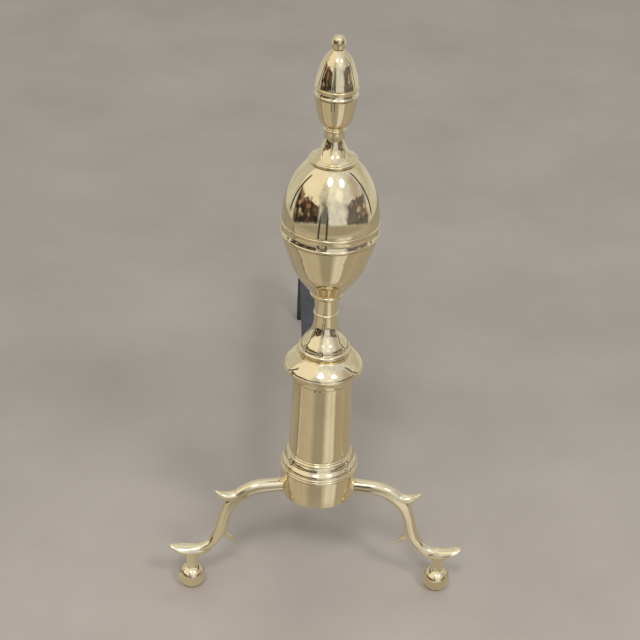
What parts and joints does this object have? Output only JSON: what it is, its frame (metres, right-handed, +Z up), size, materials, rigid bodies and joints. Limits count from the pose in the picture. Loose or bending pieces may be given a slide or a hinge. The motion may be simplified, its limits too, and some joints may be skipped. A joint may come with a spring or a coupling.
{
  "type": "andiron",
  "caption": "Hearth andiron: turned brass column with stacked lemon-shaped finials, spurred cabriole legs on ball feet, and a forged iron billet bar that holds logs off the hearth.",
  "frame": {"origin": "on the floor, under the middle of the bounding box; the column's axis stands 220.1 mm in front of it", "axes": "+Z up along the column, +Y towards the back of the hearth along the billet bar, front of the andiron towards -Y"},
  "size_m": [0.2812, 0.5258, 0.559],
  "materials": {
    "brass_polished": "polished brass, lightly tarnished and hand-rubbed",
    "iron_forged": "forged iron with dark scale, bluish grey on top",
    "steel_plain": "plain steel rod, dull"
  },
  "bodies": {
    "root": {"finial_ball": "brass_polished", "small_lemon_top": "brass_polished", "small_lemon_band": "brass_polished", "small_lemon_bottom": "brass_polished", "finial_socle": "brass_polished", "large_lemon_top": "brass_polished", "large_lemon_band": "brass_polished", "large_lemon_bottom": "brass_polished", "neck_collar": "brass_polished", "neck_spool": "brass_polished", "capital": "brass_polished", "column_tube": "brass_polished", "base_moulding": "brass_polished", "drum": "brass_polished", "leg_left": "brass_polished", "leg_right": "brass_polished", "ball_foot_left": "brass_polished", "ball_foot_right": "brass_polished", "billet_bar": "iron_forged", "tie_rod": "steel_plain", "drum_spacer": "steel_plain", "clamp_washer": "steel_plain", "tie_rod_nut": "steel_plain"}
  },
  "joints": []
}
